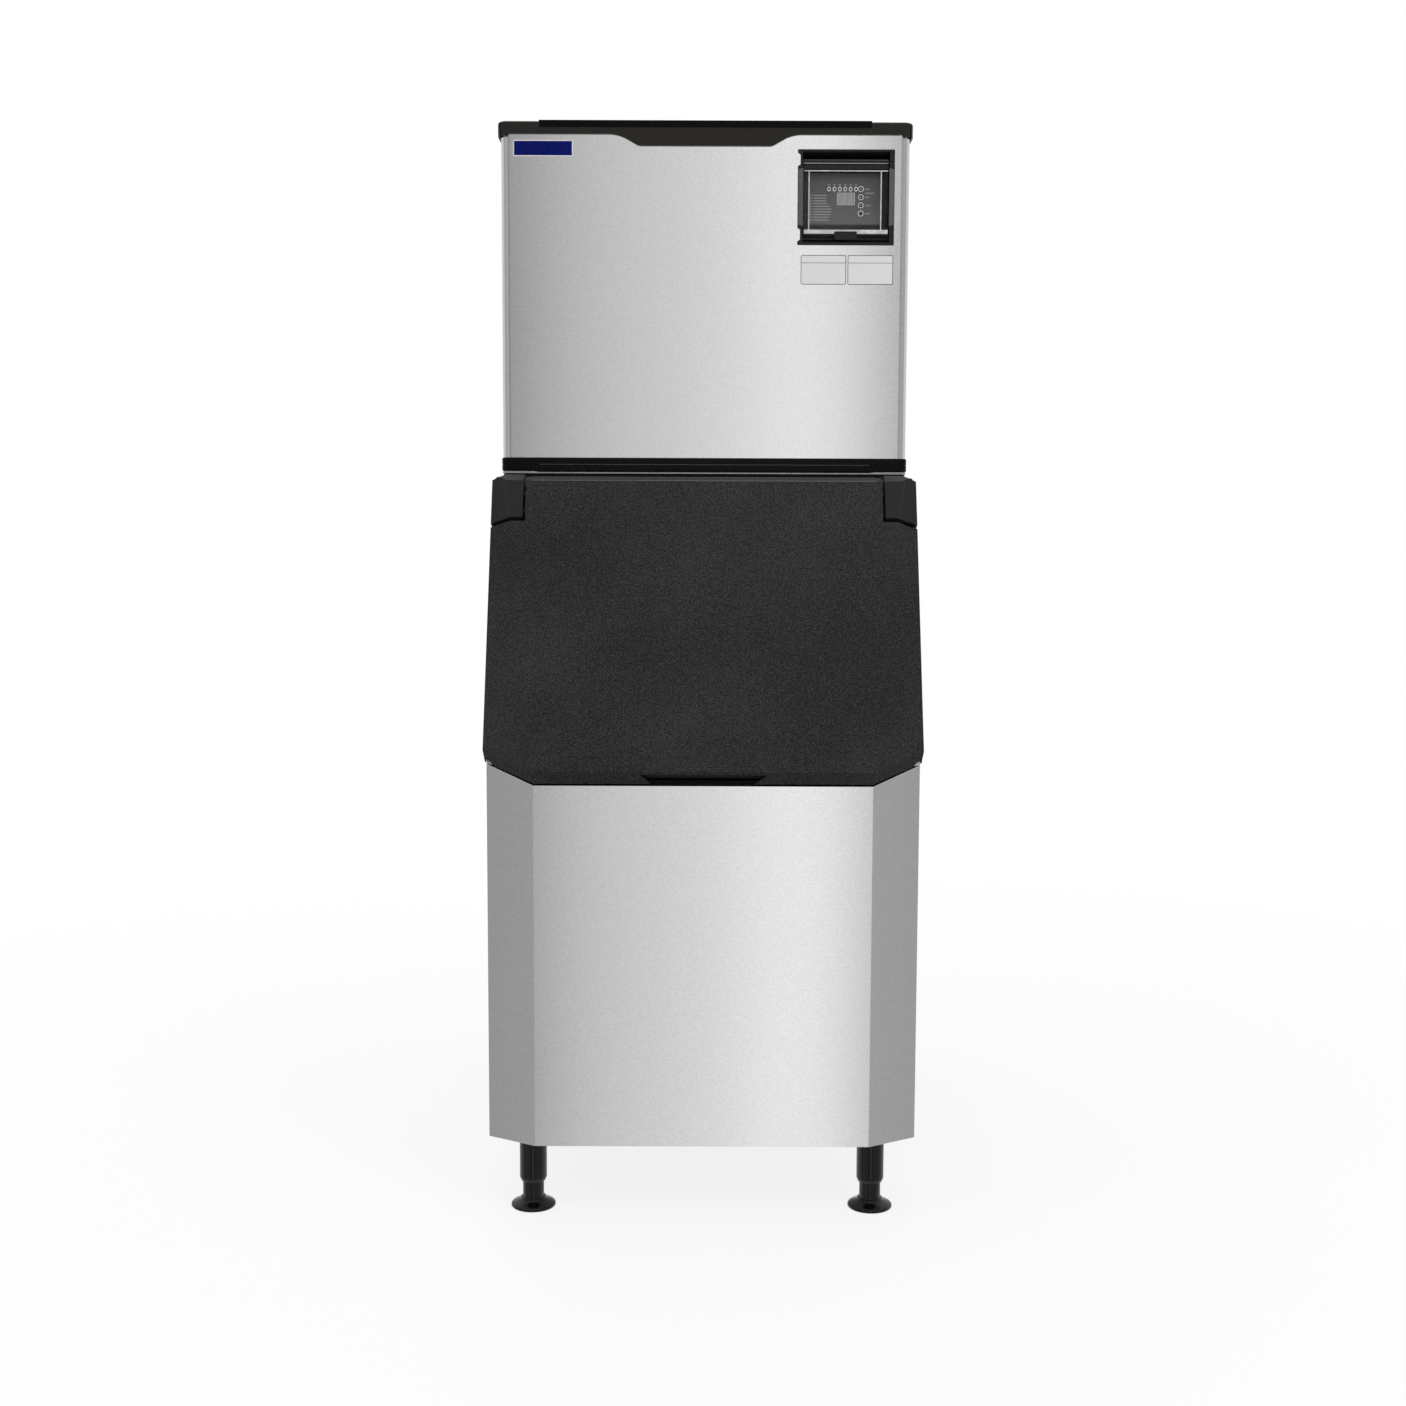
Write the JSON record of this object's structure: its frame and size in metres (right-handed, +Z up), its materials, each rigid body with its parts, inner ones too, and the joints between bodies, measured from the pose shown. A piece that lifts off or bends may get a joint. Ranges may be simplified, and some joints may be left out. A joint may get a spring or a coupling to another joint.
{
  "type": "ice machine with bin",
  "caption": "Modular cube ice machine head on a slope-fronted insulated storage bin with a lift-up door, legs and a flip-cover control recess.",
  "frame": {"origin": "on the floor, below the middle of the box round the whole machine", "axes": "+X to the right seen from the front, +Y to the back, +Z up; the door and controls face -Y"},
  "size_m": [0.569, 0.851, 1.454],
  "materials": {
    "stainless_steel": "satin",
    "zinc_steel": "satin",
    "door_plastic": "matte",
    "hinge_plastic": "matte",
    "cap_plastic": "matte",
    "gloss_black_plastic": "gloss",
    "bezel_plastic": "satin",
    "fascia_print": "satin",
    "clear_plastic": "gloss",
    "display_window": "gloss",
    "button_plastic": "satin",
    "white_plastic": "satin",
    "foam": "matte",
    "rubber": "matte",
    "nickel_plate": "satin",
    "copper": "satin",
    "black_paint": "satin",
    "brass": "satin",
    "aluminium_fins": "satin"
  },
  "bodies": {
    "machine_body": {"bin_outer_shell": "stainless_steel", "bin_insulation": "foam", "bin_liner": "white_plastic", "bin_base_plate": "zinc_steel", "bin_back_panel": "zinc_steel", "bin_deck_plate": "zinc_steel", "bin_drain_fitting": "white_plastic", "hinge_cover_left": "hinge_plastic", "hinge_bracket_left": "zinc_steel", "hinge_pin_left": "stainless_steel", "hinge_cover_right": "hinge_plastic", "hinge_bracket_right": "zinc_steel", "hinge_pin_right": "stainless_steel", "head_gasket": "rubber", "head_base_pan": "zinc_steel", "head_base_strip": "gloss_black_plastic", "head_front_panel": "stainless_steel", "head_left_side_panel": "stainless_steel", "head_right_side_panel": "stainless_steel", "head_rear_panel": "zinc_steel", "head_top_cap": "cap_plastic", "head_partition": "white_plastic", "water_inlet_fitting": "brass", "head_drain_fitting": "white_plastic", "cable_gland": "gloss_black_plastic", "evaporator_frame": "white_plastic", "evaporator_grid": "nickel_plate", "evaporator_coil": "copper", "water_distribution_tube": "white_plastic", "water_trough": "white_plastic", "water_pump": "black_paint", "compressor": "black_paint", "condenser_coil": "aluminium_fins", "fan_shroud": "black_paint", "fan_motor": "zinc_steel", "control_bezel": "bezel_plastic", "control_fascia": "fascia_print", "control_display": "display_window", "control_light_guide": "clear_plastic", "control_box": "zinc_steel", "leg_tube_front_left": "gloss_black_plastic", "leg_tube_front_right": "gloss_black_plastic", "leg_tube_rear_left": "gloss_black_plastic", "leg_tube_rear_right": "gloss_black_plastic"},
    "door": {"bin_door_shell": "door_plastic", "bin_door_inner_panel": "white_plastic", "bin_door_seal": "rubber"},
    "control_cover_flap": {"control_cover": "clear_plastic", "control_cover_tab": "bezel_plastic"},
    "curtain": {"water_curtain": "white_plastic"},
    "fan": {"fan_blade": "black_paint"},
    "button_1": {"control_button_1": "button_plastic"},
    "button_2": {"control_button_2": "button_plastic"},
    "button_3": {"control_button_3": "button_plastic"},
    "button_4": {"control_button_4": "button_plastic"},
    "foot_front_left": {"levelling_foot_front_left": "gloss_black_plastic"},
    "foot_front_right": {"levelling_foot_front_right": "gloss_black_plastic"},
    "foot_rear_left": {"levelling_foot_rear_left": "gloss_black_plastic"},
    "foot_rear_right": {"levelling_foot_rear_right": "gloss_black_plastic"}
  },
  "joints": [
    {"name": "door_hinge", "type": "hinge", "parent": "machine_body", "child": "door", "pos_m": [0, -0.25781, 0.94298], "axis": [-1, 0, 0], "range_deg": [0, 120]},
    {"name": "control_cover_hinge", "type": "hinge", "parent": "machine_body", "child": "control_cover_flap", "pos_m": [0.19275, -0.16996, 1.39175], "axis": [-1, 0, 0], "range_deg": [0, 100]},
    {"name": "curtain_hinge", "type": "hinge", "parent": "machine_body", "child": "curtain", "pos_m": [-0.07, 0.04105, 1.3832], "axis": [-1, 0, 0], "range_deg": [0, 30]},
    {"name": "fan_spin", "type": "hinge", "parent": "machine_body", "child": "fan", "pos_m": [0.164, 0.3055, 1.1278], "axis": [0, 1, 0], "continuous": true},
    {"name": "button_1_press", "type": "slide", "parent": "machine_body", "child": "button_1", "axis": [0, 1, 0], "range_m": [0, 0.001], "stiffness_N_per_m": 900, "springref_m": -0.0005},
    {"name": "button_2_press", "type": "slide", "parent": "machine_body", "child": "button_2", "axis": [0, 1, 0], "range_m": [0, 0.001], "stiffness_N_per_m": 900, "springref_m": -0.0005},
    {"name": "button_3_press", "type": "slide", "parent": "machine_body", "child": "button_3", "axis": [0, 1, 0], "range_m": [0, 0.001], "stiffness_N_per_m": 900, "springref_m": -0.0005},
    {"name": "button_4_press", "type": "slide", "parent": "machine_body", "child": "button_4", "axis": [0, 1, 0], "range_m": [0, 0.001], "stiffness_N_per_m": 900, "springref_m": -0.0005},
    {"name": "foot_height_front_left", "type": "slide", "parent": "machine_body", "child": "foot_front_left", "axis": [0, 0, 1], "range_m": [-0.02, 0.015]},
    {"name": "foot_height_front_right", "type": "slide", "parent": "machine_body", "child": "foot_front_right", "axis": [0, 0, 1], "range_m": [-0.02, 0.015]},
    {"name": "foot_height_rear_left", "type": "slide", "parent": "machine_body", "child": "foot_rear_left", "axis": [0, 0, 1], "range_m": [-0.02, 0.015]},
    {"name": "foot_height_rear_right", "type": "slide", "parent": "machine_body", "child": "foot_rear_right", "axis": [0, 0, 1], "range_m": [-0.02, 0.015]}
  ]
}
